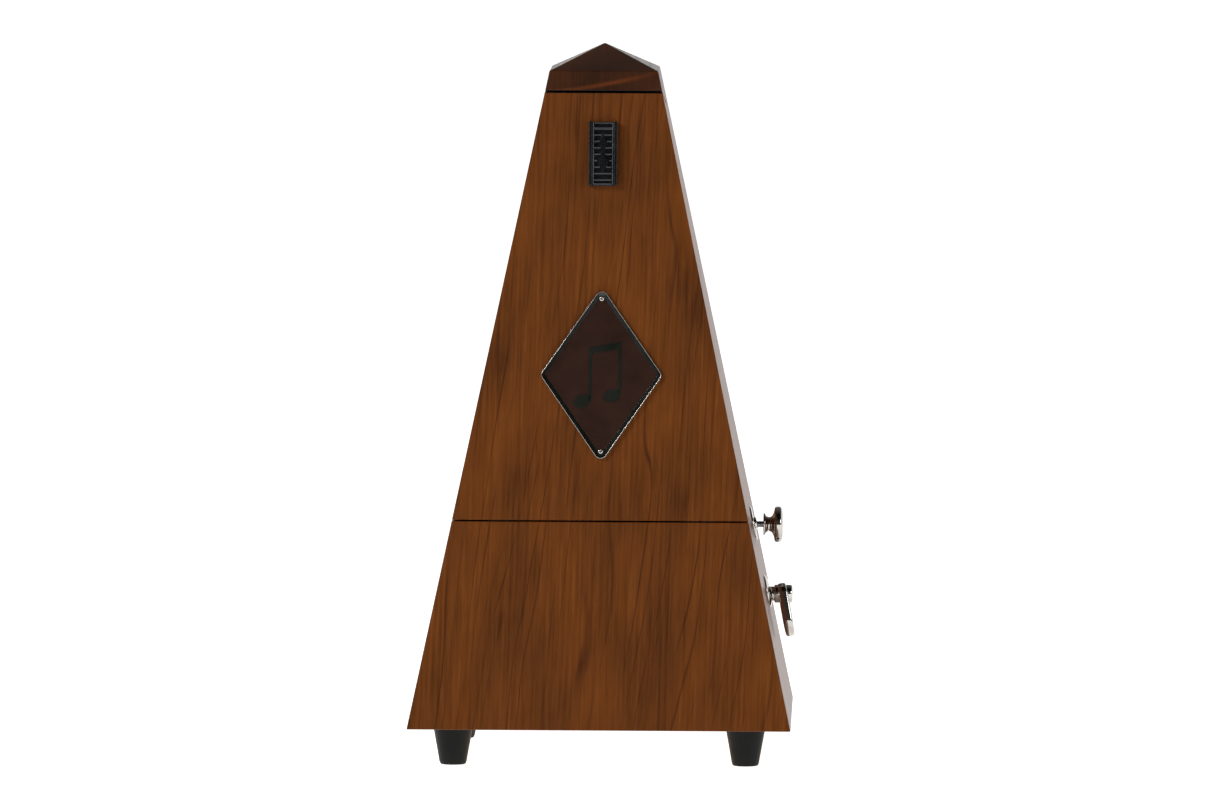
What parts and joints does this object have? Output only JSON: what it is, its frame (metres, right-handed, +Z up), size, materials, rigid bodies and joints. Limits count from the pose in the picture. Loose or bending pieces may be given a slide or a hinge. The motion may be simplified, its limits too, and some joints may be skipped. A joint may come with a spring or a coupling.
{
  "type": "pyramid metronome",
  "caption": "Wind-up wooden pyramid metronome with a drop-forward door, sliding latch, winding key, bell knob, pendulum with a sliding weight, and a geared movement inside.",
  "frame": {"origin": "middle of the footprint, on the surface that the four feet stand on", "axes": "+Z up to the peak, -Y out of the door, +X out of the wall with the key and knob"},
  "size_m": [0.1172, 0.116, 0.217],
  "materials": {
    "case_wood": "satin",
    "cap_wood": "satin",
    "inner_wood": "matte",
    "foot_rubber": "matte",
    "black_plastic": "satin",
    "bright_metal": "gloss",
    "dark_lacquer": "gloss",
    "scale_metal": "satin",
    "brass": "satin",
    "bell_metal": "gloss",
    "steel": "satin"
  },
  "bodies": {
    "case": {"back_panel": "case_wood", "left_panel": "case_wood", "right_panel": "case_wood", "lower_front_panel": "case_wood", "base_board": "inner_wood", "top_cap": "cap_wood", "glue_blocks": "inner_wood", "feet": "foot_rubber", "foot_screws": "steel", "scale_board": "inner_wood", "scale_plate": "scale_metal", "scale_screws": "brass", "rod_clip": "bright_metal", "knob_rosette": "bright_metal", "key_rosette": "bright_metal", "left_plate": "brass", "right_plate": "brass", "pillars": "steel", "pillar_nuts": "brass", "movement_screws": "steel", "front_bridge": "brass", "rear_cock": "brass", "potence": "brass", "bracket_screws": "steel", "detent_spring": "steel", "bell": "bell_metal", "bell_post": "steel"},
    "door": {"door_panel": "case_wood", "door_cheeks": "case_wood", "door_tabs": "steel", "tab_screws": "steel", "nameplate": "bright_metal", "nameplate_field": "dark_lacquer", "nameplate_pins": "bright_metal", "latch_frame": "black_plastic"},
    "latch": {"latch_slider": "black_plastic", "latch_bolt": "steel"},
    "bell_pull": {"pull_rod": "steel", "pull_knob": "bright_metal"},
    "hammer": {"hammer": "brass"},
    "winding": {"winding_arbor": "steel", "winding_key": "bright_metal", "ratchet_wheel": "steel"},
    "click": {"click": "steel", "click_spring": "steel"},
    "barrel": {"barrel": "brass", "barrel_cover": "brass", "great_wheel": "brass", "mainspring": "steel"},
    "second": {"second_arbor": "steel", "second_wheel": "brass"},
    "escape": {"escape_arbor": "steel", "crown_wheel": "brass", "beat_cams": "brass"},
    "pendulum": {"verge_staff": "steel", "pendulum_hub": "brass", "pendulum_rod": "steel", "pendulum_bob": "brass"},
    "weight": {"tempo_weight": "brass"}
  },
  "joints": [
    {"name": "door_tilt", "type": "hinge", "parent": "case", "child": "door", "pos_m": [0, -0.04484, 0.07435], "axis": [1, 0, 0], "range_deg": [0, 60]},
    {"name": "latch_slide", "type": "slide", "parent": "door", "child": "latch", "axis": [0, 0.2055, 0.9787], "range_m": [0, 0.004]},
    {"name": "pendulum_swing", "type": "hinge", "parent": "case", "child": "pendulum", "pos_m": [0, -0.03647, 0.06313], "axis": [0, -0.9787, 0.2055], "range_deg": [-6, 6]},
    {"name": "weight_slide", "type": "slide", "parent": "pendulum", "child": "weight", "axis": [0, 0.2055, 0.9787], "range_m": [-0.063, 0.018]},
    {"name": "winding_turn", "type": "hinge", "parent": "case", "child": "winding", "pos_m": [0, 0.004, 0.0484], "axis": [1, 0, 0], "continuous": true},
    {"name": "click_lift", "type": "hinge", "parent": "case", "child": "click", "pos_m": [0.023, 0.013, 0.0564], "axis": [-1, 0, 0], "range_deg": [0, 8], "stiffness_Nm_per_rad": 0.001, "springref_deg": -17.19},
    {"name": "barrel_turn", "type": "hinge", "parent": "case", "child": "barrel", "pos_m": [0, 0.004, 0.0484], "axis": [1, 0, 0], "continuous": true},
    {"name": "second_turn", "type": "hinge", "parent": "case", "child": "second", "pos_m": [0, -0.01662, 0.04442], "axis": [1, 0, 0], "continuous": true},
    {"name": "escape_turn", "type": "hinge", "parent": "case", "child": "escape", "pos_m": [0, -0.00907, 0.05738], "axis": [1, 0, 0], "continuous": true},
    {"name": "bell_pull_slide", "type": "slide", "parent": "case", "child": "bell_pull", "axis": [1, 0, 0], "range_m": [0, 0.008]},
    {"name": "hammer_swing", "type": "hinge", "parent": "bell_pull", "child": "hammer", "pos_m": [-0.0162, 0.004, 0.0697], "axis": [1, 0, 0], "range_deg": [-2, 6], "stiffness_Nm_per_rad": 0.004, "springref_deg": -0.52}
  ],
  "couplings": [
    {"joint": "second_turn", "follows": "escape_turn", "ratio": -0.2},
    {"joint": "barrel_turn", "follows": "escape_turn", "ratio": 0.033333}
  ]
}
